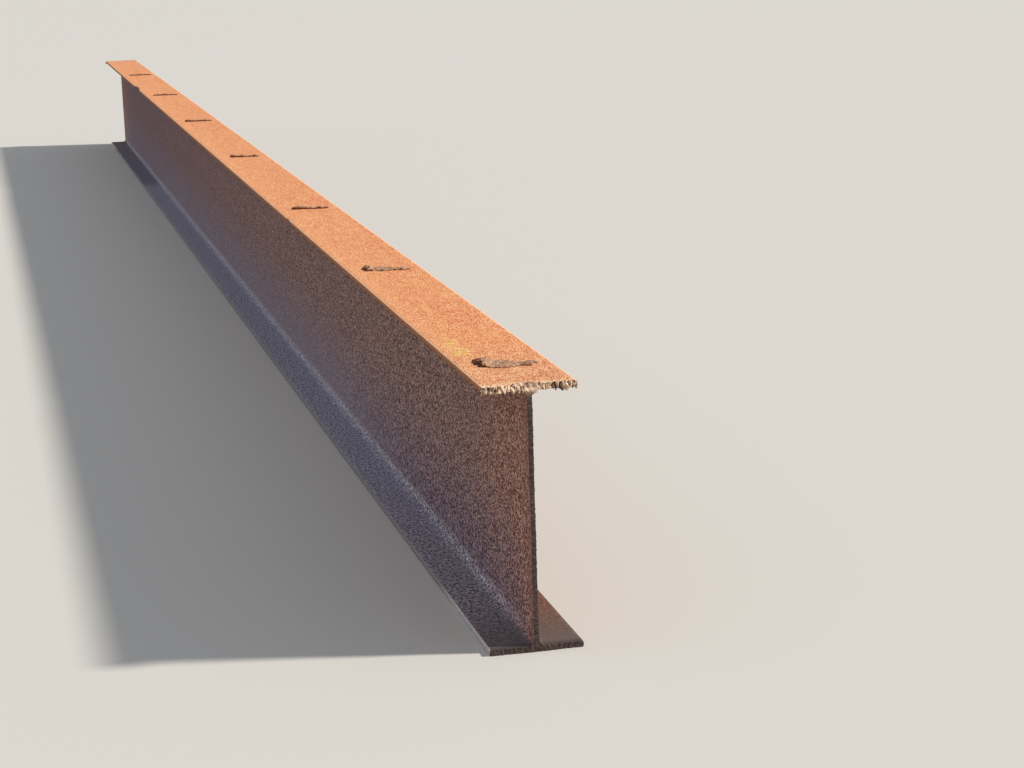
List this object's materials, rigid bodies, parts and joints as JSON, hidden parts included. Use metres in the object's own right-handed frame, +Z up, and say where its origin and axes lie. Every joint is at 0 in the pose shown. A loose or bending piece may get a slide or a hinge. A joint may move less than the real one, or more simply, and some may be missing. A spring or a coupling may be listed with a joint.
{
  "type": "steel i-beam",
  "caption": "Long used steel I-section beam, rusty all over, flame-cut at both ends, with remnants of welded cleats across its top flange.",
  "frame": {"origin": "middle of the underside of the bottom flange, the bounding box's bottom centre", "axes": "+Y along the beam, away from the end with the two wide, torn weld remnants; +X across the flanges, to the right when looking along +Y; +Z up"},
  "size_m": [0.2652, 16, 0.766],
  "materials": {
    "rusty_steel": "weathered rust over mill scale, matt and finely pitted"
  },
  "bodies": {
    "root": {"beam": "rusty_steel"}
  },
  "joints": []
}
